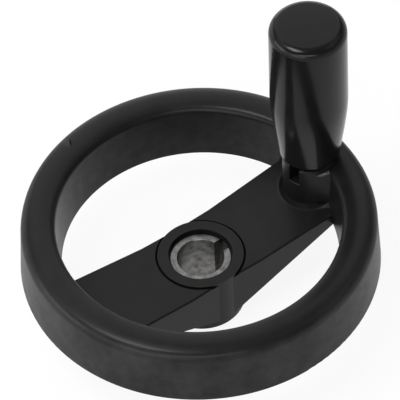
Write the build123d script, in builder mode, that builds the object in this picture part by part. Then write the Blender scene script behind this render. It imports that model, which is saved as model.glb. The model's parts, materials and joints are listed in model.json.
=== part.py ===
from build123d import *
import math
import os

# Two-arm machine handwheel with a fold-away revolving handle.  Millimetres, +Z up.
# The origin lies on the shaft axis, in the plane of the rim's lower edge.  The handle stands
# on the +X arm, upright at rest.  It is lifted on its sleeve as it folds inwards over the hub.

# ---- rim ----
rim_foot_r = 62.5          # outer radius at the lower edge
rim_height = 22.4
rim_width = 14.35          # width of the rim's section at the lower edge
rim_draft = 1.3            # both walls lean towards the middle of the section by this much
rim_outer_round = 4.0
rim_inner_round = 2.8
rim_foot_round = 0.6

# ---- arms ----
arm_mid_half_width = 14.6  # half the arms' width at the shaft axis
arm_end_half_width = 16.0
arm_root = 14.5            # distance from the shaft axis where the arms start to rise
arm_root_top = 1.8
arm_mid_bottom = -19.5     # height of the arms' sloping undersides, carried on to the shaft axis
arm_bite = 0.85            # the arms end this far inside the rim
arm_end_top = 5.4
arm_end_bottom = 1.8
arm_edge_round = 0.7

# ---- hub and its steel bush ----
hub_r = 15.0
hub_top = 2.2
hub_bottom = -21.1
hub_foot_round = 0.8
hub_groove_width = 0.6
hub_groove_floor = 1.3
hub_recess_r = 11.2
bush_r = 10.8
bush_top = 0.4
bush_chamfer = 0.3
bore_r = 8.0
key_width = 5.0
key_depth = 2.3            # depth of the keyway beyond the bore

# ---- seat of the folding handle ----
handle_inset = 0.25        # distance of the handle's axis from the rim's inner lower edge
fold_yaw = 17.0            # the slot looks this far to one side of the shaft axis, in degrees
seat_r = 9.7
seat_top_round = 0.8
seat_foot_round = 1.6
web_top = 20.2             # top of the web that joins the seat to the rim
web_flare = 36.0           # angle of the web's sides to the arm's length, in degrees
web_length = 8.0
web_edge_round = 0.4
slot_edge_round = 0.3
pivot_height = 18.2
slot_width = 4.0
pin_r = 1.5
pin_blind_end = 6.5        # distance of the pin hole's blind end from the fold plane
pin_open_end = 10.3
pin_play = 0.1
pin_fit = 0.05             # radial clearance of the spindle's eye on the pin

# ---- spindle: eye, tongue, collar and shank; heights from here on start at the pivot ----
tongue_width = 6.0
tongue_thickness = 3.4
tongue_play = 0.2          # between the eye and the floor of the slot
collar_foot = 10.5
collar_height = 1.6
collar_r = 5.2
shank_r = 4.0
shank_top = 50.8
shank_chamfer = 0.5
shank_fit = 0.05           # radial clearance of the sleeve on the shank
ring_groove_r = 3.3
ring_height = 1.0
ring_r = 5.2
ring_gap = 3.0
washer_height = 1.2
washer_r = 5.5
washer_top = 48.0

# ---- lifting sleeve and spring ----
sleeve_foot = 5.8
sleeve_r = 7.0
sleeve_top = 49.3
sleeve_foot_bore_r = 5.6
sleeve_guide_length = 12.0
chamber_r = 5.8
flange_r = 8.5
flange_height = 1.4
collar_play = 0.05         # between the sleeve's inner step and the collar
spring_wire_r = 0.6
spring_mean_r = 4.95
spring_turns = 4.5
spring_play = 0.1

# ---- revolving grip ----
grip_length = 63.1
grip_foot_r = 10.55
grip_swell_r = 13.5
grip_swell_height = 29.0
grip_taper = 0.11          # radius gained per height at the foot
grip_top_r = 13.35
grip_foot_round = 1.3
grip_top_round = 2.0
grip_dome = 1.4
grip_fit = 0.05            # radial clearance of the grip on the sleeve
grip_play = 0.3            # room round the flange and the clip
grip_head_room = 4.0       # room above the shank
clip_foot = 38.8
clip_height = 1.2
clip_groove_depth = 0.6
clip_r = 8.2
clip_gap = 4.0

rim_top_r = rim_foot_r - rim_draft
rim_bore_foot_r = rim_foot_r - rim_width
rim_bore_top_r = rim_bore_foot_r + rim_draft
arm_end = rim_bore_top_r + arm_bite
handle_x = rim_bore_foot_r - handle_inset
yaw = math.radians(fold_yaw)
flare = math.radians(web_flare)
tongue_half = tongue_width / 2
slot_half = tongue_half + tongue_play
collar_top = collar_foot + collar_height
washer_foot = washer_top - washer_height
guide_foot = collar_top + collar_play
guide_top = guide_foot + sleeve_guide_length
grip_top = sleeve_foot + grip_length
seat_top = rim_height - pivot_height
seat_foot = arm_root_top - pivot_height
web_tangent = (handle_x - seat_r * math.sin(flare), seat_r * math.cos(flare))
web_end = (
    web_tangent[0] + web_length * math.cos(flare),
    web_tangent[1] + web_length * math.sin(flare),
)

# The fold plane holds the shaft of the handle: its X points out of the slot's mouth, its Y up.
fold_plane = Plane(
    origin=(handle_x, 0, pivot_height),
    x_dir=(-math.cos(yaw), -math.sin(yaw), 0),
    z_dir=(-math.sin(yaw), math.cos(yaw), 0),
)
# The round handle pieces are turned about the Y axis of this plane, which stands on the pivot.
turning_plane = Plane(origin=(handle_x, 0, pivot_height), x_dir=(1, 0, 0), z_dir=(0, -1, 0))
turning_axis = Axis((handle_x, 0, 0), (0, 0, 1))

os.makedirs("parts", exist_ok=True)


# ---- the wheel's blanks: rim, arms, hub and seat ----
with BuildPart() as rim:
    with BuildSketch(Plane.XZ):
        with BuildLine():
            Polyline(
                (rim_bore_foot_r, 0),
                (rim_foot_r, 0),
                (rim_top_r, rim_height),
                (rim_bore_top_r, rim_height),
                close=True,
            )
        make_face()
        fillet(vertices().group_by(Axis.Y)[-1].sort_by(Axis.X)[-1], rim_outer_round)
        fillet(vertices().group_by(Axis.Y)[-1].sort_by(Axis.X)[0], rim_inner_round)
        fillet(vertices().group_by(Axis.Y)[0], rim_foot_round)
    revolve(axis=Axis.Z)

with BuildPart() as arms:
    with BuildSketch(Plane.XZ):
        with BuildLine():
            Polyline(
                (0, arm_root_top),
                (arm_root, arm_root_top),
                (arm_end, arm_end_top),
                (arm_end, arm_end_bottom),
                (0, arm_mid_bottom),
            )
            mirror(about=Plane.YZ)
        make_face()
    extrude(amount=2 * arm_end_half_width, both=True)
    with BuildSketch(Plane.XY.offset(hub_bottom)):
        with BuildLine():
            Polyline(
                (0, arm_mid_half_width),
                (arm_end, arm_end_half_width),
                (arm_end, -arm_end_half_width),
                (0, -arm_mid_half_width),
            )
            mirror(about=Plane.YZ)
        make_face()
    extrude(amount=rim_height - hub_bottom, mode=Mode.INTERSECT)
    upper_sides = edges().filter_by(
        lambda e: abs(e.center().Y) > arm_mid_half_width - 1 and e.center().Z > arm_root_top - 1
        and abs(e.tangent_at(0.5).X) > 0.9
    )
    fillet(upper_sides, arm_edge_round)

with BuildPart() as seat:
    with BuildSketch(Plane.XY.offset(arm_root_top)):
        with BuildLine():
            Polyline((handle_x, 0), web_tangent, web_end, (web_end[0], 0))
            mirror(about=Plane.XZ)
        make_face()
    extrude(amount=web_top - arm_root_top)
    web_sides = edges().filter_by_position(Axis.Z, web_top, web_top).filter_by(
        lambda e: e.center().X > web_tangent[0] and abs(e.center().Y) > seat_r / 2
    )
    fillet(web_sides, web_edge_round)
    with BuildSketch(turning_plane):
        with BuildLine():
            Polyline(
                (0, seat_foot),
                (seat_r, seat_foot),
                (seat_r, seat_top),
                (0, seat_top),
                close=True,
            )
        make_face()
        fillet(vertices().sort_by_distance((seat_r, seat_top))[0], seat_top_round)
    revolve(axis=turning_axis)

# ---- one moulding: rim, arms, hub and handle seat ----
with BuildPart() as wheel_body:
    add(arms.part)
    add(seat.part)
    add(rim.part)
    seat_foot_edges = (
        edges()
        .filter_by_position(Axis.X, handle_x - seat_r - seat_foot_round, rim_bore_foot_r)
        .filter_by_position(Axis.Y, -seat_r, seat_r)
        .filter_by_position(Axis.Z, arm_root_top, arm_end_top)
    )
    fillet(seat_foot_edges, seat_foot_round)
    with BuildSketch(Plane.XZ):
        with BuildLine():
            Polyline((0, hub_bottom), (hub_r, hub_bottom), (hub_r, hub_top), (0, hub_top), close=True)
        make_face()
        fillet(vertices().sort_by_distance((hub_r, hub_bottom))[0], hub_foot_round)
    revolve(axis=Axis.Z)
    # groove that sets the hub's ring off from the arms
    with BuildSketch(Plane.XY.offset(hub_groove_floor)):
        Circle(hub_r + hub_groove_width)
        Circle(hub_r, mode=Mode.SUBTRACT)
    extrude(amount=hub_top - hub_groove_floor, mode=Mode.SUBTRACT)
    # seat of the bush, and the recess that leaves its end face below the hub's ring
    with BuildSketch(Plane.XY.offset(hub_bottom)):
        Circle(bush_r)
    extrude(amount=hub_top - hub_bottom, mode=Mode.SUBTRACT)
    with BuildSketch(Plane.XY.offset(bush_top)):
        Circle(hub_recess_r)
    extrude(amount=hub_top - bush_top, mode=Mode.SUBTRACT)
    # slot that the spindle's tongue folds through, open at the top and towards the hub
    with BuildSketch(fold_plane):
        with BuildLine():
            Polyline(
                (0, -slot_half),
                (2 * seat_r, -slot_half),
                (2 * seat_r, 2 * seat_top),
                (-slot_half, 2 * seat_top),
                (-slot_half, 0),
            )
            CenterArc((0, 0), slot_half, 180, 90)
        make_face()
    extrude(amount=slot_width / 2, both=True, mode=Mode.SUBTRACT)
    fillet(edges(Select.LAST).filter_by(lambda e: not e.is_interior), slot_edge_round)
    # blind hole of the pivot pin
    with BuildSketch(fold_plane.offset(-pin_blind_end)):
        Circle(pin_r)
    extrude(amount=pin_blind_end + seat_r + web_length / 2, mode=Mode.SUBTRACT)
wheel_body.part.label = "wheel_body"
export_step(wheel_body.part, "parts/wheel_body.step")

# ---- keyed steel bush ----
with BuildPart() as hub_bush:
    with BuildSketch(Plane.XY.offset(hub_bottom)):
        Circle(bush_r)
        Circle(bore_r, mode=Mode.SUBTRACT)
    extrude(amount=bush_top - hub_bottom)
    chamfer(edges().filter_by(GeomType.CIRCLE).group_by(SortBy.RADIUS)[0], bush_chamfer)
    with BuildSketch(Plane.XY.offset(hub_bottom)):
        Rectangle(bore_r + key_depth, key_width, align=(Align.MIN, Align.CENTER))
    extrude(amount=bush_top - hub_bottom, mode=Mode.SUBTRACT)
hub_bush.part.label = "hub_bush"
export_step(hub_bush.part, "parts/hub_bush.step")

# ---- pivot pin ----
with BuildPart() as pivot_pin:
    with BuildSketch(fold_plane.offset(-pin_blind_end + pin_play)):
        Circle(pin_r)
    extrude(amount=pin_blind_end - pin_play + pin_open_end)
    chamfer(edges().filter_by(GeomType.CIRCLE), pin_play)
pivot_pin.part.label = "pivot_pin"
export_step(pivot_pin.part, "parts/pivot_pin.step")

# ---- spindle: flat eye and tongue below, collar and round shank above ----
with BuildPart() as handle_spindle:
    with BuildSketch(fold_plane):
        Circle(tongue_half)
        Rectangle(tongue_width, collar_foot, align=(Align.CENTER, Align.MIN))
    extrude(amount=tongue_thickness / 2, both=True)
    with BuildSketch(fold_plane):
        Circle(pin_r + pin_fit)
    extrude(amount=tongue_thickness, both=True, mode=Mode.SUBTRACT)
    with BuildSketch(turning_plane):
        with BuildLine():
            Polyline(
                (0, collar_foot),
                (collar_r, collar_foot),
                (collar_r, collar_top),
                (shank_r, collar_top),
                (shank_r, washer_top),
                (ring_groove_r, washer_top),
                (ring_groove_r, washer_top + ring_height),
                (shank_r, washer_top + ring_height),
                (shank_r, shank_top - shank_chamfer),
                (shank_r - shank_chamfer, shank_top),
                (0, shank_top),
                close=True,
            )
        make_face()
    revolve(axis=turning_axis)
handle_spindle.part.label = "handle_spindle"
export_step(handle_spindle.part, "parts/handle_spindle.step")

# ---- washer and retaining ring that hold the spring on the shank ----
with BuildPart() as spring_washer:
    with BuildSketch(Plane.XY.offset(pivot_height + washer_foot)):
        with Locations((handle_x, 0)):
            Circle(washer_r)
            Circle(shank_r + shank_fit, mode=Mode.SUBTRACT)
    extrude(amount=washer_height)
spring_washer.part.label = "spring_washer"
export_step(spring_washer.part, "parts/spring_washer.step")

with BuildPart() as retaining_ring:
    with BuildSketch(Plane.XY.offset(pivot_height + washer_top)):
        with Locations((handle_x, 0)):
            Circle(ring_r)
            Circle(ring_groove_r + shank_fit, mode=Mode.SUBTRACT)
            Rectangle(2 * ring_r, ring_gap, align=(Align.MIN, Align.CENTER), mode=Mode.SUBTRACT)
    extrude(amount=ring_height)
retaining_ring.part.label = "retaining_ring"
export_step(retaining_ring.part, "parts/retaining_ring.step")

# ---- spring that presses the sleeve down on the collar ----
spring_foot = pivot_height + guide_top + spring_play + spring_wire_r
spring_rise = washer_foot - guide_top - spring_play - 2 * spring_wire_r
with BuildPart() as lift_spring:
    with BuildLine():
        coil = Helix(
            pitch=spring_rise / spring_turns,
            height=spring_rise,
            radius=spring_mean_r,
            center=(handle_x, 0, spring_foot),
        )
    with BuildSketch(Plane(origin=coil @ 0, z_dir=coil % 0)):
        Circle(spring_wire_r)
    sweep(path=coil, is_frenet=True)
lift_spring.part.label = "lift_spring"
export_step(lift_spring.part, "parts/lift_spring.step")

# ---- lifting sleeve ----
with BuildPart() as lift_sleeve:
    with BuildSketch(turning_plane):
        with BuildLine():
            Polyline(
                (sleeve_foot_bore_r, sleeve_foot),
                (flange_r, sleeve_foot),
                (flange_r, sleeve_foot + flange_height),
                (sleeve_r, sleeve_foot + flange_height),
                (sleeve_r, clip_foot),
                (sleeve_r - clip_groove_depth, clip_foot),
                (sleeve_r - clip_groove_depth, clip_foot + clip_height),
                (sleeve_r, clip_foot + clip_height),
                (sleeve_r, sleeve_top),
                (chamber_r, sleeve_top),
                (chamber_r, guide_top),
                (shank_r + shank_fit, guide_top),
                (shank_r + shank_fit, guide_foot),
                (sleeve_foot_bore_r, guide_foot),
                close=True,
            )
        make_face()
    revolve(axis=turning_axis)
lift_sleeve.part.label = "lift_sleeve"
export_step(lift_sleeve.part, "parts/lift_sleeve.step")

# ---- snap ring that keeps the grip on the sleeve ----
with BuildPart() as grip_clip:
    with BuildSketch(Plane.XY.offset(pivot_height + clip_foot)):
        with Locations((handle_x, 0)):
            Circle(clip_r)
            Circle(sleeve_r - clip_groove_depth + grip_fit, mode=Mode.SUBTRACT)
            Rectangle(2 * clip_r, clip_gap, align=(Align.MIN, Align.CENTER), mode=Mode.SUBTRACT)
    extrude(amount=clip_height)
grip_clip.part.label = "grip_clip"
export_step(grip_clip.part, "parts/grip_clip.step")

# ---- revolving grip, tapered to its foot, with a low domed end ----
with BuildPart() as handle_grip:
    with BuildSketch(turning_plane):
        with BuildLine():
            Line((0, sleeve_foot), (grip_foot_r, sleeve_foot))
            Spline(
                (grip_foot_r, sleeve_foot),
                (grip_swell_r, sleeve_foot + grip_swell_height),
                tangents=((grip_taper, 1), (0, 1)),
            )
            Line((grip_swell_r, sleeve_foot + grip_swell_height), (grip_top_r, grip_top - grip_dome))
            TangentArc((0, grip_top), (grip_top_r, grip_top - grip_dome), tangent=(1, 0))
            Line((0, grip_top), (0, sleeve_foot))
        make_face()
        fillet(vertices().sort_by_distance((grip_top_r, grip_top - grip_dome))[0], grip_top_round)
        fillet(vertices().sort_by_distance((grip_foot_r, sleeve_foot))[0], grip_foot_round)
    revolve(axis=turning_axis)
    with BuildSketch(turning_plane):
        with BuildLine():
            Polyline(
                (0, sleeve_foot),
                (flange_r + grip_play, sleeve_foot),
                (flange_r + grip_play, sleeve_foot + flange_height + grip_play),
                (sleeve_r + grip_fit, sleeve_foot + flange_height + grip_play),
                (sleeve_r + grip_fit, clip_foot - grip_play),
                (clip_r + grip_play, clip_foot - grip_play),
                (clip_r + grip_play, clip_foot + clip_height + grip_play),
                (sleeve_r + grip_fit, clip_foot + clip_height + grip_play),
                (sleeve_r + grip_fit, shank_top + grip_head_room),
                (0, shank_top + grip_head_room),
                close=True,
            )
        make_face()
    revolve(axis=turning_axis, mode=Mode.SUBTRACT)
handle_grip.part.label = "handle_grip"
export_step(handle_grip.part, "parts/handle_grip.step")
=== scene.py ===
# %% [markdown]
# # A machine handwheel with a fold-away handle
# The wheel is one black moulding: a dished pair of arms between a hub and a rim, with a slotted
# seat beside the rim for the tall revolving grip.  A keyed steel bush sits in the hub.
#
# The mechanical model comes first.  Its pieces already lie where they belong, so whatever is
# made here is fitted to them and nothing has to be placed by eye.

# %% Load the mechanical model
import json
import math
import bmesh
import bpy
from mathutils import Matrix, Vector


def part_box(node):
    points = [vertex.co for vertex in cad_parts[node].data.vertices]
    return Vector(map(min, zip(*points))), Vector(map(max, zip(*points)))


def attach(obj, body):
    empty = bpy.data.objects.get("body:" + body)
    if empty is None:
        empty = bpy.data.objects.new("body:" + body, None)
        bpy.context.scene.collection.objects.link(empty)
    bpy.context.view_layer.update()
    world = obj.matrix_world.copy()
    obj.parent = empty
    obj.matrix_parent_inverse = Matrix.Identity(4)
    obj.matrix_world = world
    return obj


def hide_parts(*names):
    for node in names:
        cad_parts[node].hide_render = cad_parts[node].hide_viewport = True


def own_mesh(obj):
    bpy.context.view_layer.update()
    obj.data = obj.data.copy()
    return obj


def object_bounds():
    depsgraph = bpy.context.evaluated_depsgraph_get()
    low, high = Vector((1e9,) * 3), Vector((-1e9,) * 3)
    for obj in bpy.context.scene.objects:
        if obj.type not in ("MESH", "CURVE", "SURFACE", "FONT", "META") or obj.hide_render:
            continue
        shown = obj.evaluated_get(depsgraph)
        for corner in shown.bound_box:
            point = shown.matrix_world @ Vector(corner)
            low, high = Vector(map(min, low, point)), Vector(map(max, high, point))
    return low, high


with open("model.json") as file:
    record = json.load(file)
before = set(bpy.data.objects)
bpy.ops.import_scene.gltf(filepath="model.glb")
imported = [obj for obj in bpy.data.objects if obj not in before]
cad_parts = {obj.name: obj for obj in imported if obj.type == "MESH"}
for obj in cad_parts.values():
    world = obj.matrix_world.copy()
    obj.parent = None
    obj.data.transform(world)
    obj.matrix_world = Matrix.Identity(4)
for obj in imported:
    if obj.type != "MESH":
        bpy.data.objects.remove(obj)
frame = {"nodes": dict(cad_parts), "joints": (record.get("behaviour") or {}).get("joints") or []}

SCENE = bpy.context.scene
MM = 0.001
cad_low, cad_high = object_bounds()
print("pieces:", sorted(frame["nodes"]))

# %% [markdown]
# ## Measures
# The boxes of the mechanical pieces give the heights and places that the looks depend on.  They
# are read once here, so the scene follows the wheel if its sizes change.  The hub has no box of
# its own, so its radius is written down.

# %% Read the measures
wheel_low, wheel_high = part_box("wheel_body")
bush_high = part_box("hub_bush")[1]
grip_low, grip_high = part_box("handle_grip")
FLOOR_HEIGHT = wheel_low.z - 0.1 * MM
RIM_TOP = wheel_high.z
RIM_RADIUS = wheel_high.x
HUB_RADIUS = 15.0 * MM
BUSH_RADIUS = bush_high.x
GRIP_CENTRE = (grip_low + grip_high) / 2
GRIP_FOOT = grip_low.z
GRIP_LENGTH = grip_high.z - grip_low.z
GRIP_SWELL = (grip_high.x - grip_low.x) / 2
print("rim", round(RIM_RADIUS / MM, 1), "mm radius, top at", round(RIM_TOP / MM, 1), "mm")
print("grip", round(GRIP_LENGTH / MM, 1), "mm long,", round(GRIP_SWELL / MM, 1), "mm radius")

# %% [markdown]
# ## A short way to write nets of nodes
# Materials and modelling trees are both nets of nodes.  Three small classes keep them readable:
# a `Value` is an output that can stand in a sum, a `Node` gives its outputs by name, and a `Net`
# adds any node with its settings made before its sockets are filled.  Writing sums as sums
# keeps the reasoning visible, where a long list of math nodes would hide it.

# %% Values, nodes and nets
class Value:
    """An output socket, ready for use in a sum."""

    def __init__(self, net, socket):
        self.net = net
        self.socket = socket

    def math(self, operation, first, second=0.0):
        made = self.net.node("ShaderNodeMath", {"operation": operation}, {0: first, 1: second})
        return made.out("Value")

    def __add__(self, other):
        return self.math("ADD", self, other)

    def __radd__(self, other):
        return self.math("ADD", other, self)

    def __sub__(self, other):
        return self.math("SUBTRACT", self, other)

    def __rsub__(self, other):
        return self.math("SUBTRACT", other, self)

    def __mul__(self, other):
        return self.math("MULTIPLY", self, other)

    def __mod__(self, other):
        return self.math("MODULO", self, other)

    def sin(self):
        return self.math("SINE", self)

    def cos(self):
        return self.math("COSINE", self)

    def exp(self):
        return self.math("EXPONENT", self)

    def larger(self, other):
        return self.math("MAXIMUM", self, other)


class Node:
    """A node whose outputs are read by name."""

    def __init__(self, net, node):
        self.net = net
        self.node = node

    def out(self, name):
        return Value(self.net, self.node.outputs[name])


class Net:
    """A net of nodes under construction."""

    def __init__(self, tree):
        self.tree = tree
        tree.nodes.clear()

    def node(self, kind, settings=None, sockets=None):
        """Adds a node, makes its settings, then fills or links its sockets."""
        made = self.tree.nodes.new(kind)
        for name, value in (settings or {}).items():
            setattr(made, name, value)
        for name, value in (sockets or {}).items():
            if isinstance(value, Value):
                self.tree.links.new(value.socket, made.inputs[name])
            else:
                made.inputs[name].default_value = value
        return Node(self, made)


print("nets are ready")

# %% [markdown]
# ## A lathe
# A turned shape is one half outline carried round an axis.  The lathe is a modelling tree that
# does just that.  A grid has one row for each point of the outline and one column for
# each step of the turn.  Every grid point looks up its outline point by row, and its column
# gives the angle.  Looking the points up by number keeps each rounding exactly as it was drawn,
# which a resampled curve would not.  The seam and the points on the axis are then welded.

# %% Build the lathe's tree
WELD_DISTANCE = 0.001 * MM


def lathe_tree():
    tree = bpy.data.node_groups.new("lathe", "GeometryNodeTree")
    for name, direction, kind in (
        ("Outline", "INPUT", "NodeSocketGeometry"),
        ("Steps", "INPUT", "NodeSocketInt"),
        ("Finish", "INPUT", "NodeSocketMaterial"),
        ("Turned", "OUTPUT", "NodeSocketGeometry"),
    ):
        tree.interface.new_socket(name, in_out=direction, socket_type=kind)
    net = Net(tree)
    given = net.node("NodeGroupInput")
    outline = given.out("Outline")
    rows = net.node(
        "GeometryNodeAttributeDomainSize", {"component": "CURVE"}, {"Geometry": outline}
    ).out("Point Count")
    grid = net.node("GeometryNodeMeshGrid", {}, {
        "Size X": 2 * math.pi,
        "Size Y": 1.0,
        "Vertices X": given.out("Steps") + 1.0,
        "Vertices Y": rows,
    })
    place = net.node("GeometryNodeInputPosition").out("Position")
    row = net.node("GeometryNodeInputIndex").out("Index") % rows
    drawn = net.node(
        "GeometryNodeSampleIndex",
        {"data_type": "FLOAT_VECTOR", "domain": "POINT"},
        {"Geometry": outline, "Value": place, "Index": row},
    )
    turn = net.node("ShaderNodeSeparateXYZ", {}, {"Vector": place}).out("X")
    point = net.node("ShaderNodeSeparateXYZ", {}, {"Vector": drawn.out("Value")})
    turned = net.node("ShaderNodeCombineXYZ", {}, {
        "X": point.out("X") * turn.cos(),
        "Y": point.out("X") * turn.sin(),
        "Z": point.out("Z"),
    })
    placed = net.node("GeometryNodeSetPosition", {}, {
        "Geometry": grid.out("Mesh"), "Position": turned.out("Vector"),
    })
    welded = net.node("GeometryNodeMergeByDistance", {}, {
        "Geometry": placed.out("Geometry"), "Distance": WELD_DISTANCE,
    })
    real = net.node("GeometryNodeRealizeInstances", {}, {"Geometry": welded.out("Geometry")})
    finished = net.node("GeometryNodeSetMaterial", {}, {
        "Geometry": real.out("Geometry"), "Material": given.out("Finish"),
    })
    net.node("NodeGroupOutput", {}, {"Turned": finished.out("Geometry")})
    return tree


LATHE = lathe_tree()
print("lathe:", len(LATHE.nodes), "nodes")

# %% [markdown]
# ## Turning a piece
# An outline is a list of radius and height pairs in millimetres.  It becomes a plain curve, the
# lathe turns it, and the result is kept as an ordinary mesh.  The mesh is welded once more, its
# faces are made to look outwards, and edges sharper than a rounding stay crisp.

# %% Turn an outline into a piece
CRISP_ANGLE = math.radians(40)    # edges sharper than this stay crisp


def turned_piece(name, outline, place, finish, steps=192):
    """Turns an outline round an upright axis and puts its origin at the given place."""
    curve = bpy.data.curves.new(name + "_outline", "CURVE")
    curve.dimensions = "3D"
    spline = curve.splines.new("POLY")
    spline.points.add(len(outline) - 1)
    for point, (radius, height) in zip(spline.points, outline):
        point.co = (radius * MM, 0, height * MM, 1)
    drawing = bpy.data.objects.new(name + "_outline", curve)
    SCENE.collection.objects.link(drawing)

    lathe = drawing.modifiers.new("lathe", "NODES")
    lathe.node_group = LATHE
    inputs = {"Steps": steps, "Finish": finish}
    for item in LATHE.interface.items_tree:
        if item.name in inputs:
            lathe[item.identifier] = inputs[item.name]
    depsgraph = bpy.context.evaluated_depsgraph_get()
    mesh = bpy.data.meshes.new_from_object(drawing.evaluated_get(depsgraph))
    mesh.name = name
    drawing.modifiers.remove(lathe)
    bpy.data.objects.remove(drawing)

    work = bmesh.new()
    work.from_mesh(mesh)
    bmesh.ops.remove_doubles(work, verts=work.verts, dist=WELD_DISTANCE)
    bmesh.ops.recalc_face_normals(work, faces=work.faces)
    for face in work.faces:
        face.smooth = True
    work.to_mesh(mesh)
    work.free()
    mesh.set_sharp_from_angle(angle=CRISP_ANGLE)
    mesh.transform(Matrix.Translation(place))
    mesh.materials.clear()
    mesh.materials.append(finish)
    piece = bpy.data.objects.new(name, mesh)
    SCENE.collection.objects.link(piece)
    print(name, len(outline), "outline points,", len(mesh.polygons), "faces")
    return piece


# %% [markdown]
# ## Colours and small marks
# A `Finish` is a net that ends in a material.  It knows the place of each point on the piece in
# metres, so grain has its true size and a mark stays where it was made.  A mark is an ellipse
# round a centre, soft at its edge.  The same helper makes a nick, a rub and a speck.  A ring
# marks a band round an upright axis, such as the shaft's or the handle's.

# %% Finishes
def grey(value):
    return (value, value, value, 1.0)


class Finish(Net):
    """A material under construction."""

    def __init__(self, name):
        self.material = bpy.data.materials.new(name)
        self.material.use_nodes = True
        super().__init__(self.material.node_tree)
        self.place = self.node("ShaderNodeTexCoord").out("Object")

    def noise(self, size, detail=2.0):
        """Even mottling, with blotches about as wide as the given size in millimetres."""
        return self.node("ShaderNodeTexNoise", {}, {
            "Vector": self.place, "Scale": 1.0 / (size * MM), "Detail": detail,
        }).out("Fac")

    def spread(self, value, low, high, start=0.3, end=0.7):
        """Spreads a value from start to end over the range from low to high."""
        return self.node("ShaderNodeMapRange", {}, {
            "Value": value, "From Min": start, "From Max": end, "To Min": low, "To Max": high,
        }).out("Result")

    def mark(self, centre, half_sizes, turn=0.0, soft=0.5):
        """One inside an ellipse on the piece, nought outside; lengths in millimetres."""
        local = self.node("ShaderNodeMapping", {"vector_type": "TEXTURE"}, {
            "Vector": self.place,
            "Location": [c * MM for c in centre],
            "Rotation": (0, 0, math.radians(turn)),
            "Scale": [s * MM for s in half_sizes],
        }).out("Vector")
        far = self.node("ShaderNodeVectorMath", {"operation": "LENGTH"}, {0: local}).out("Value")
        return self.node("ShaderNodeMapRange", {"interpolation_type": "SMOOTHSTEP"}, {
            "Value": far, "From Min": 1.0, "From Max": 1.0 - soft,
        }).out("Result")

    def reach(self, middle=0.0):
        """Distance from an upright axis that lies middle millimetres along X."""
        flat = self.node("ShaderNodeVectorMath", {"operation": "MULTIPLY_ADD"}, {
            0: self.place, 1: (1, 1, 0), 2: (-middle * MM, 0, 0),
        }).out("Vector")
        return self.node("ShaderNodeVectorMath", {"operation": "LENGTH"}, {0: flat}).out("Value")

    def ring(self, inner, outer, above, below=100.0, middle=0.0, soft=0.1):
        """One between two distances from an axis and two heights, all in millimetres."""
        far = self.reach(middle)
        height = self.node("ShaderNodeSeparateXYZ", {}, {"Vector": self.place}).out("Z")
        high = self.spread(height, 0.0, 1.0, above * MM, (above + soft) * MM)
        high = high * self.spread(height, 1.0, 0.0, (below - soft) * MM, below * MM)
        inside = self.spread(far, 0.0, 1.0, inner * MM, (inner + soft) * MM)
        return high * inside * self.spread(far, 1.0, 0.0, (outer - soft) * MM, outer * MM)

    def mix(self, share, first, second):
        """Blends two colours; a share of one gives the second."""
        made = self.node("ShaderNodeMix", {"data_type": "RGBA"}, {0: share, 6: first, 7: second})
        return Value(self, made.node.outputs[2])

    def bump(self, height, depth, normal=None):
        """Raises the surface by depth millimetres where height is one."""
        sockets = {"Height": height, "Strength": 1.0, "Distance": depth * MM}
        if normal:
            sockets["Normal"] = normal
        return self.node("ShaderNodeBump", {}, sockets).out("Normal")

    def surface(self, sockets):
        """Ends the net in a shader with these sockets and gives the material."""
        shader = self.node("ShaderNodeBsdfPrincipled", {}, sockets).out("BSDF")
        self.node("ShaderNodeOutputMaterial", {}, {"Surface": shader})
        return self.material


print("finishes are ready")

# %% [markdown]
# ## The black moulding
# The wheel is glass-filled nylon with a satin skin.  Its colour is nearly black, and what is
# seen is mostly its sheen.  The sheen has two parts, so the finish has two layers: a broad dull
# one from the skin, and a thin coat with a narrower one from the resin that lay against the
# mould, uneven on the rim's walls.  A fine grain comes from the mould, a slow ripple from
# shrinkage, and a mottling on the outer wall from hands.  Painted shade darkens and dulls the
# groove round the hub and the corner at the foot of the seat, and a painted highlight lightens a
# line just outside that corner.  The rim's top carries a short dark nick in a rubbed patch, and
# a painted highlight and glint lighten the seat's lip.

# %% Make the black moulding
GROOVE_WIDTH = 0.8               # all lengths here are in millimetres
SEAT_CORNER = (9.8, 11.2)        # distances from the handle's axis
# a painted highlight lies along this band, just outside the seat's corner
SEAT_HIGHLIGHT_LINE = (11.25, 11.75)
SEAT_LIP_HEIGHT = 20.2
HANDLED_BAND = (4.0, 1.5)        # distances inside the rim's radius
WALLS_START = 46.0               # distance from the shaft axis, just inside the rim
WALL_BAND = (-4.0, 20.0)         # heights between which the walls' coat is uneven
NICK_TURN = 65.0


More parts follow.
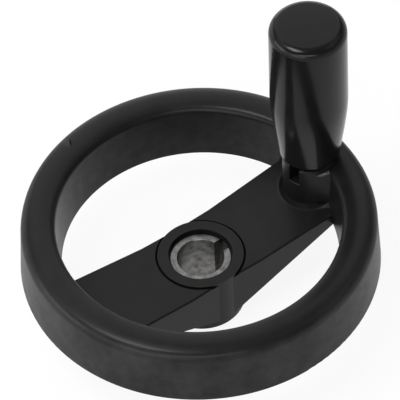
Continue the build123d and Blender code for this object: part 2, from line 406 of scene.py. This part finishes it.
def black_moulding():
    finish = Finish("black_moulding")
    mottle = finish.noise(7.0, detail=4.0)
    grain = finish.noise(0.45, detail=2.0)
    ripple = finish.noise(16.0, detail=1.0)
    resin = finish.spread(finish.noise(3.5, detail=6.0), -0.07, 0.07)
    hands = finish.noise(11.0, detail=5.0)

    hub, rim, top = HUB_RADIUS / MM, RIM_RADIUS / MM, RIM_TOP / MM
    seat = GRIP_CENTRE.x / MM
    # painted shade: darkens the groove round the hub
    hub_groove_shade = finish.ring(hub, hub + GROOVE_WIDTH, above=1.0)
    # painted shade: darkens the corner at the foot of the seat
    corner = finish.ring(*SEAT_CORNER, above=1.0, below=7.0, middle=seat, soft=0.3)
    # painted highlight: a light line just outside the seat's corner
    seat_line_highlight = finish.ring(*SEAT_HIGHLIGHT_LINE, above=1.0, below=6.5, middle=seat, soft=0.2)
    nick = finish.mark((-15.6, 54.0, top), (2.6, 0.4, 0.9), turn=NICK_TURN)
    rub = finish.mark((-16.4, 54.8, top), (3.4, 2.0, 1.4), turn=NICK_TURN, soft=0.9)
    # painted highlight and glint on the seat's lip, where a lamp is mirrored
    lip_highlight = finish.mark((46.6, -9.7, SEAT_LIP_HEIGHT), (3.9, 1.1, 0.7), turn=-24.0, soft=0.9)
    lip_glint = finish.mark((49.1, -10.2, SEAT_LIP_HEIGHT), (1.0, 1.6, 0.9), turn=10.0, soft=0.9)
    # the nick's own dark colour together with the painted shade of the groove and the seat's
    # corner
    nick_and_painted_shade = nick.larger(hub_groove_shade.larger(corner * 0.8))
    walls = finish.ring(
        WALLS_START, rim + 2.0, above=WALL_BAND[0], below=WALL_BAND[1], soft=2.0
    )
    outside = finish.spread(
        finish.reach(), 0.0, 1.0, *((rim - inside) * MM for inside in HANDLED_BAND)
    )
    handled = outside * finish.spread(hands, 0.0, 1.0, 0.35, 0.65)

    colour = finish.mix(finish.spread(mottle, 0.0, 1.0), grey(0.0055), grey(0.0085))
    # each mark's share of the colour, and its own shade of grey; the darkest is the nick together
    # with painted shade, and the seat line's and the lip's greys are painted highlights
    for share, paint in (
        (handled, 0.017),
        (rub * 0.6, 0.03),
        (lip_highlight * 0.8, 0.25),
        (lip_glint * 0.8, 0.55),
        (seat_line_highlight * 0.5, 0.03),
        (nick_and_painted_shade, 0.0008),
    ):
        colour = finish.mix(share, colour, grey(paint))
    skin = finish.bump(grain, 0.02)
    skin = finish.bump(ripple, 0.10, skin)
    skin = finish.bump(1.0 - nick, 0.25, skin)
    return finish.surface({
        "Base Color": colour,
        "Roughness": finish.spread(mottle, 0.40, 0.46) + handled * 0.04 + nick_and_painted_shade * 0.5,
        "Specular IOR Level": 0.08,
        "Coat Weight": (0.22 + walls * resin) * (1.0 - nick_and_painted_shade),
        "Coat Roughness": 0.29,
        "Normal": skin,
    })


MOULDING = black_moulding()
print(MOULDING.name, len(MOULDING.node_tree.nodes), "nodes")

# %% [markdown]
# ## The polished grip
# The grip is a hard phenolic moulding, polished to a deep gloss, so it mirrors the floor beside
# the wheel and the dark rim below it.  A smooth skin over a nearly black base does that.  The
# resin reflects little, so the specular level is low.  Real polish is never perfect: a slow
# ripple bends the reflections, and handling leaves faint dull patches.

# %% Make the polished grip's finish
def polished_black():
    finish = Finish("polished_black")
    handling = finish.noise(9.0, detail=3.0)
    ripple = finish.noise(14.0, detail=1.0)
    polish = finish.noise(0.8, detail=2.0)
    skin = finish.bump(ripple, 0.04)
    skin = finish.bump(polish, 0.0008, skin)
    return finish.surface({
        "Base Color": finish.mix(handling, grey(0.0040), grey(0.0065)),
        "Roughness": finish.spread(handling, 0.16, 0.21),
        "Specular IOR Level": 0.19,
        "Normal": skin,
    })


POLISHED = polished_black()
print(POLISHED.name, len(POLISHED.node_tree.nodes), "nodes")

# %% [markdown]
# ## The steel
# The bush is turned and left plain: the tool leaves fine rings round the shaft axis, uneven in
# depth, and the face is a little stained, with one dark fleck.  Painted shade darkens its outer
# edge and the recess round it, which lie in shadow.  The hidden pieces are turned steel too,
# finer and almost without stains, and the spring, the ring and the clip are dark tempered steel.

# %% Make the steels
TOOL_RINGS = 900.0      # scale of the rings that the tool left
RECESS_SHADE_WIDTH = 0.45        # width in millimetres of the painted shade at the bush's outer edge


def turned_face():
    finish = Finish("turned_face")
    stain = finish.noise(2.4, detail=5.0)
    grain = finish.noise(0.25, detail=2.0)
    rings = finish.node("ShaderNodeTexWave", {
        "wave_type": "RINGS", "rings_direction": "Z",
    }, {
        "Vector": finish.place,
        "Scale": TOOL_RINGS,
        "Distortion": 1.5,
        "Detail": 2.0,
        "Detail Scale": 0.5,
    }).out("Fac")
    fleck = finish.mark((-6.5, -5.0, 0.2), (0.55, 0.4, 0.9), turn=40.0)
    bush = BUSH_RADIUS / MM
    # painted shade: darkens the bush's outer edge and the recess round it
    recess_shade = finish.ring(bush - RECESS_SHADE_WIDTH, bush + 1.2, above=-2.0)
    worn = finish.spread(stain, 0.0, 0.75) + rings * 0.25
    steel = finish.mix(worn, grey(0.05), (0.30, 0.295, 0.285, 1.0))
    colour = finish.mix(fleck * 0.8, steel, grey(0.03))
    colour = finish.mix(recess_shade, colour, grey(0.012))
    skin = finish.bump(rings, 0.01)
    skin = finish.bump(grain, 0.006, skin)
    return finish.surface({
        "Base Color": colour,
        "Metallic": 1.0,
        "Roughness": finish.spread(stain, 0.30, 0.42),
        "Normal": skin,
    })


def plain_steel(name, dark, light, low, high):
    finish = Finish(name)
    stain = finish.noise(4.0, detail=3.0)
    grain = finish.noise(0.2, detail=2.0)
    return finish.surface({
        "Base Color": finish.mix(finish.spread(stain, 0.0, 1.0), dark, light),
        "Metallic": 1.0,
        "Roughness": finish.spread(stain, low, high),
        "Normal": finish.bump(grain, 0.002),
    })


TURNED_FACE = turned_face()
TURNED_STEEL = plain_steel("turned_steel", grey(0.34), (0.44, 0.44, 0.45, 1.0), 0.24, 0.34)
TEMPERED_STEEL = plain_steel("tempered_steel", grey(0.14), (0.20, 0.20, 0.22, 1.0), 0.3, 0.42)
print("steels:", TURNED_FACE.name, TURNED_STEEL.name, TEMPERED_STEEL.name)

# %% [markdown]
# ## Lines of an outline
# Two kinds of line draw the turned outlines.  An arc makes a rounding, a dome or a crown.  The
# swelling side is a cubic between its two ends, as the side of a turned grip is.

# %% Arcs and swelling sides
def arc(centre, radius, start, end, steps):
    """Points of an arc between two angles in degrees, its first and last point among them."""
    angles = [math.radians(start + (end - start) * step / steps) for step in range(steps + 1)]
    return [(centre[0] + radius * math.cos(a), centre[1] + radius * math.sin(a)) for a in angles]


def swelling_side(start, height, end, taper, steps):
    """Points of a cubic side that leaves its foot with a taper and ends upright."""
    points = []
    for step in range(steps + 1):
        t = step / steps
        radius = start + (end - start) * t * t * (3 - 2 * t) + taper * height * t * (1 - t) ** 2
        points.append((radius, height * t))
    return points


print("a quarter round of 4 steps has", len(arc((0.0, 0.0), 1.0, 0.0, 90.0, 4)), "points")

# %% [markdown]
# ## The grip
# The outline starts on the axis at the blind end of the bore, comes out through the foot and
# goes up the outside: a small rounding, a side that swells from the foot and then runs almost
# straight, a larger rounding, and a low dome.  Each rounding's centre is worked out from the
# faces that it joins.

# %% Draw the outline and turn the grip
BORE = 7.05                 # all lengths are in millimetres, from the grip's foot and axis
# The groove belongs 5.8 mm lower: as it is, the clip cuts into the grip's wall, out of sight.
CLIP_ROOM = (38.5, 40.3)    # heights between which the groove lies
CLIP_DEPTH = 1.45
FLANGE_ROOM = 1.7           # height of the room for the sleeve's flange
FLANGE_DEPTH = 1.75
END_WALL = 14.1             # from the blind end of the bore to the grip's top
FOOT_RADIUS = 10.55
FOOT_TAPER = 0.11
FOOT_ROUND = 1.3
SWELL_HEIGHT = 29.0
TOP_RADIUS = 13.35
TOP_ROUND = 3.6
DOME = 0.7
CROWDED = 0.3               # the side's points keep this far from the foot's rounding

length = GRIP_LENGTH / MM
swell = GRIP_SWELL / MM
foot_turn = math.degrees(math.atan2(1.0, FOOT_TAPER))
foot_centre = FOOT_RADIUS - FOOT_ROUND * math.tan(math.radians(foot_turn) / 2)
foot_arc = arc((foot_centre, FOOT_ROUND), FOOT_ROUND, -90.0, foot_turn - 90.0, 8)
side = swelling_side(FOOT_RADIUS, SWELL_HEIGHT, swell, FOOT_TAPER, 48)
dome_radius = (TOP_RADIUS ** 2 + DOME ** 2) / (2 * DOME)
dome_centre = length - dome_radius
round_reach = TOP_RADIUS - TOP_ROUND
round_height = dome_centre + math.sqrt((dome_radius - TOP_ROUND) ** 2 - round_reach ** 2)
meeting = math.degrees(math.atan2(round_height - dome_centre, round_reach))
top_arc = arc((round_reach, round_height), TOP_ROUND, 0.0, meeting, 12)
dome_arc = arc((0.0, dome_centre), dome_radius, meeting, 90.0, 16)
blind_end = cad_high.z / MM - GRIP_FOOT / MM - END_WALL
clip_wall = BORE + CLIP_DEPTH
flange_wall = BORE + FLANGE_DEPTH
grip_outline = (
    [(0.0, blind_end), (BORE, blind_end), (BORE, CLIP_ROOM[1]), (clip_wall, CLIP_ROOM[1])]
    + [(clip_wall, CLIP_ROOM[0]), (BORE, CLIP_ROOM[0]), (BORE, FLANGE_ROOM)]
    + [(flange_wall, FLANGE_ROOM), (flange_wall, 0.0)]
    + foot_arc
    + [point for point in side if point[1] > foot_arc[-1][1] + CROWDED]
    + top_arc
    + dome_arc[1:-1]
    + [(0.0, length)]
)
grip = turned_piece(
    "grip", grip_outline, (GRIP_CENTRE.x, GRIP_CENTRE.y, GRIP_FOOT), POLISHED
)
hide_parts("handle_grip")
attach(grip, "grip")

# %% [markdown]
# ## The rim's crown
# The rim's top is not quite flat: it rises by less than half a millimetre between its two
# roundings.  The crown is one turned ring.  Its arc runs into both roundings without an edge,
# so the arc's radius and centre follow from the flat's width, the two roundings and the rise.
# The ring's root is buried in the rim.

# %% Lay the crown on the rim
CROWN = 0.45            # the rise; all lengths are in millimetres
FLAT_START = 52.09      # the flat between the roundings, from the shaft axis
FLAT_END = 57.42
INNER_ROUND = 2.8
OUTER_ROUND = 4.0
CROWN_ROOT = -0.9
CROWN_LIFT = 0.015      # keeps the crown's ends above the facets of the roundings
flat = FLAT_END - FLAT_START
inner_part = flat / 2 + CROWN * (OUTER_ROUND - INNER_ROUND) / flat
crown_radius = INNER_ROUND + (inner_part ** 2 / CROWN + CROWN) / 2
inner_turn = math.degrees(math.asin(inner_part / (crown_radius - INNER_ROUND)))
outer_turn = math.degrees(math.asin((flat - inner_part) / (crown_radius - OUTER_ROUND)))
crown_centre = (FLAT_START + inner_part, CROWN - crown_radius)
crown_arc = arc(crown_centre, crown_radius, 90.0 + inner_turn, 90.0 - outer_turn, 24)
inner_root = (crown_arc[0][0], CROWN_ROOT)
outer_root = (crown_arc[-1][0], CROWN_ROOT)
crown = turned_piece(
    "rim_crown",
    [inner_root] + crown_arc + [outer_root, inner_root],
    (0.0, 0.0, RIM_TOP + CROWN_LIFT * MM),
    MOULDING,
    steps=384,
)
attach(crown, "wheel")

# %% [markdown]
# ## The seat's flat
# The handle's foot stands on a flat that is cut through the crown.  A turned disc round the
# handle's axis does the cutting, and is thrown away afterwards.

# %% Cut the crown free of the seat
SEAT_FLAT = 9.8     # radius of the flat in millimetres, just outside the seat's wall
CUT_REACH = 3.0     # how far the cutter reaches above and below the rim's top
cutter = turned_piece(
    "seat_cutter",
    [(0.0, -CUT_REACH), (SEAT_FLAT, -CUT_REACH), (SEAT_FLAT, CUT_REACH), (0.0, CUT_REACH)],
    (GRIP_CENTRE.x, GRIP_CENTRE.y, RIM_TOP),
    MOULDING,
)
cut = crown.modifiers.new("seat", "BOOLEAN")
cut.operation = "DIFFERENCE"
cut.solver = "EXACT"
cut.object = cutter
depsgraph = bpy.context.evaluated_depsgraph_get()
cut_crown = bpy.data.meshes.new_from_object(crown.evaluated_get(depsgraph))
cut_crown.set_sharp_from_angle(angle=CRISP_ANGLE)
crown.modifiers.clear()
crown.data = cut_crown
bpy.data.objects.remove(cutter)
print("crown cut free of the seat,", len(cut_crown.polygons), "faces")

# %% [markdown]
# ## Dress the mechanical pieces
# Only the grip is made anew.  All other pieces keep their own exact solids.  Each gets the
# finish of its kind, and one table says which; the rest are turned steel.

# %% Put the finishes on
FINISHES = {
    "wheel_body": MOULDING,
    "hub_bush": TURNED_FACE,
    "lift_spring": TEMPERED_STEEL,
    "retaining_ring": TEMPERED_STEEL,
    "grip_clip": TEMPERED_STEEL,
    "handle_grip": POLISHED,
}
for name, node in frame["nodes"].items():
    node.data.materials.clear()
    node.data.materials.append(FINISHES.get(name, TURNED_STEEL))
    print(name, "gets", node.data.materials[0].name)

# %% [markdown]
# ## The spring under the sleeve
# The sleeve is lifted against a spring before the handle folds, so the spring must shorten with
# it.  The share of its length that is left at full lift follows from its free length and the
# travel of the joint.  Here that share is worked out and the spring gets a mesh of its own.

# %% Work out how far the spring shortens
spring_low, spring_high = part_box("lift_spring")
lift = next(joint for joint in frame["joints"] if joint["name"] == "handle_lift")
free_length = spring_high.z - spring_low.z
left_over = 1 - lift["range_m"][1] / free_length
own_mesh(frame["nodes"]["lift_spring"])
print("spring", round(free_length / MM, 1), "mm free,", round(left_over, 3), "of it at full lift")

# %% [markdown]
# ## Floor and world
# The floor is white to the eye and in reflections, and keeps a trace of the wheel's shadow.
# The world is a plain grey room that grows lighter towards the horizon, as a studio with white
# walls does, so upright faces are not left in the dark.

# %% Lay the floor and light the room
FLOOR_REACH = 8.0        # in metres, far past the edge of the picture
FLOOR_GREY = 0.9
FLOOR_GLOW = 0.9         # share of its own white that is seen in place of its shading
SKY_LIGHT = 0.12
HORIZON_LIGHT = 0.85
HORIZON_FALL = 4.0       # how fast the horizon's light fades with height


def floor():
    mesh = bpy.data.meshes.new("floor")
    corners = [(-1, -1), (1, -1), (1, 1), (-1, 1)]
    points = [(x * FLOOR_REACH, y * FLOOR_REACH, FLOOR_HEIGHT) for x, y in corners]
    mesh.from_pydata(points, [], [(0, 1, 2, 3)])
    sheet = bpy.data.objects.new("floor", mesh)
    SCENE.collection.objects.link(sheet)
    finish = Finish("floor")
    ray = finish.node("ShaderNodeLightPath")
    seen = ray.out("Is Camera Ray") + ray.out("Is Glossy Ray") + ray.out("Is Transmission Ray")
    matt = finish.node("ShaderNodeBsdfDiffuse", {}, {"Color": grey(FLOOR_GREY)}).out("BSDF")
    white = finish.node("ShaderNodeEmission", {}, {"Color": grey(1.0), "Strength": 1.0})
    both = finish.node("ShaderNodeMixShader", {}, {
        0: seen * FLOOR_GLOW, 1: matt, 2: white.out("Emission"),
    }).out("Shader")
    finish.node("ShaderNodeOutputMaterial", {}, {"Surface": both})
    mesh.materials.append(finish.material)


def room():
    world = bpy.data.worlds.new("room")
    SCENE.world = world
    world.use_nodes = True
    net = Net(world.node_tree)
    towards = net.node("ShaderNodeTexCoord").out("Generated")
    height = net.node("ShaderNodeSeparateXYZ", {}, {"Vector": towards}).out("Z")
    glow = (height * -HORIZON_FALL).exp()
    back = net.node("ShaderNodeBackground", {}, {
        "Color": grey(1.0), "Strength": glow * HORIZON_LIGHT + SKY_LIGHT,
    }).out("Background")
    net.node("ShaderNodeOutputWorld", {}, {"Surface": back})


floor()
room()
print("floor at", round(FLOOR_HEIGHT / MM, 1), "mm")

# %% [markdown]
# ## Lamps
# Black satin shows little but the lamps it mirrors, so most lamps are large and soft.  Five low
# ones stand left and behind, for the rim's walls and the far arcs, and four high ones light the
# flats.  Two smaller, brighter ones draw the highlights along the roundings of rim and grip.
# Each lamp is given by its direction, its size and its brightness as seen, and its power
# follows from size and brightness.

# %% Set the lamps
LAMPS = (
    # name, azimuth and elevation in degrees, width and height in metres, brightness
    ("above", 112, 78, 1.0, 1.0, 0.30),
    ("left", 180, 14, 1.2, 0.5, 1.15),
    ("left_front", -150, 14, 0.8, 0.5, 2.10),
    ("left_back", 150, 14, 0.8, 0.5, 2.90),
    ("back", 60, 10, 0.9, 0.4, 1.65),
    ("back_left", 105, 14, 0.7, 0.5, 1.08),
    ("high_right", -30, 50, 0.8, 0.6, 0.60),
    ("high_back", 57, 46, 1.3, 0.9, 1.05),
    ("high_left_back", 135, 50, 0.8, 0.6, 0.80),
    ("bright_left", 172, 66, 0.50, 0.45, 10.5),
    ("bright_front", -128, 31, 0.9, 0.22, 5.0),
)
LAMP_DISTANCE = 1.2
LAMP_AIM = Vector((0, 0, 0.02))


def lamp(name, azimuth, elevation, width, height, brightness):
    """An area lamp that looks at the wheel; brightness is what a mirror would show of it."""
    data = bpy.data.lights.new(name, "AREA")
    data.shape = "RECTANGLE"
    data.size = width
    data.size_y = height
    data.energy = math.pi * width * height * brightness
    across = math.cos(math.radians(elevation))
    towards = Vector((
        math.cos(math.radians(azimuth)) * across,
        math.sin(math.radians(azimuth)) * across,
        math.sin(math.radians(elevation)),
    ))
    light = bpy.data.objects.new(name, data)
    light.location = LAMP_AIM + LAMP_DISTANCE * towards
    light.rotation_euler = (-towards).to_track_quat("-Z", "Y").to_euler()
    SCENE.collection.objects.link(light)


for row in LAMPS:
    lamp(*row)
print(len(LAMPS), "lamps")

# %% [markdown]
# ## Camera
# The camera looks down on the wheel from in front and to the left, through a long lens, a little
# tilted.  It is given by the direction it looks from, its distance, the point it looks at and
# its focal length in pixels of a 400 pixel wide picture.

# %% Place the camera
view_azimuth = math.radians(-34.319)
view_elevation = math.radians(49.490)
view_roll = math.radians(-2.715)
view_distance = 1.4775
aim_height = 0.01182
aim_right = 0.000709
aim_up = 0.012412
focal_pixels = 4287.44
picture_pixels = 400

back = Vector((
    math.sin(view_azimuth) * math.cos(view_elevation),
    -math.cos(view_azimuth) * math.cos(view_elevation),
    math.sin(view_elevation),
))
right = Vector((math.cos(view_azimuth), math.sin(view_azimuth), 0))
up = back.cross(right)
target = Vector((0, 0, aim_height)) + aim_right * right + aim_up * up
turned_right = math.cos(view_roll) * right + math.sin(view_roll) * up
turned_up = -math.sin(view_roll) * right + math.cos(view_roll) * up
camera_data = bpy.data.cameras.new("camera")
camera_data.lens = focal_pixels / picture_pixels * camera_data.sensor_width
camera_data.clip_end = 20.0
camera = bpy.data.objects.new("camera", camera_data)
axes = Matrix((turned_right, turned_up, back)).transposed().to_4x4()
camera.matrix_world = Matrix.Translation(target + view_distance * back) @ axes
SCENE.collection.objects.link(camera)
SCENE.camera = camera
SCENE.view_settings.view_transform = "Standard"
print("camera at", [round(value, 3) for value in camera.matrix_world.translation])
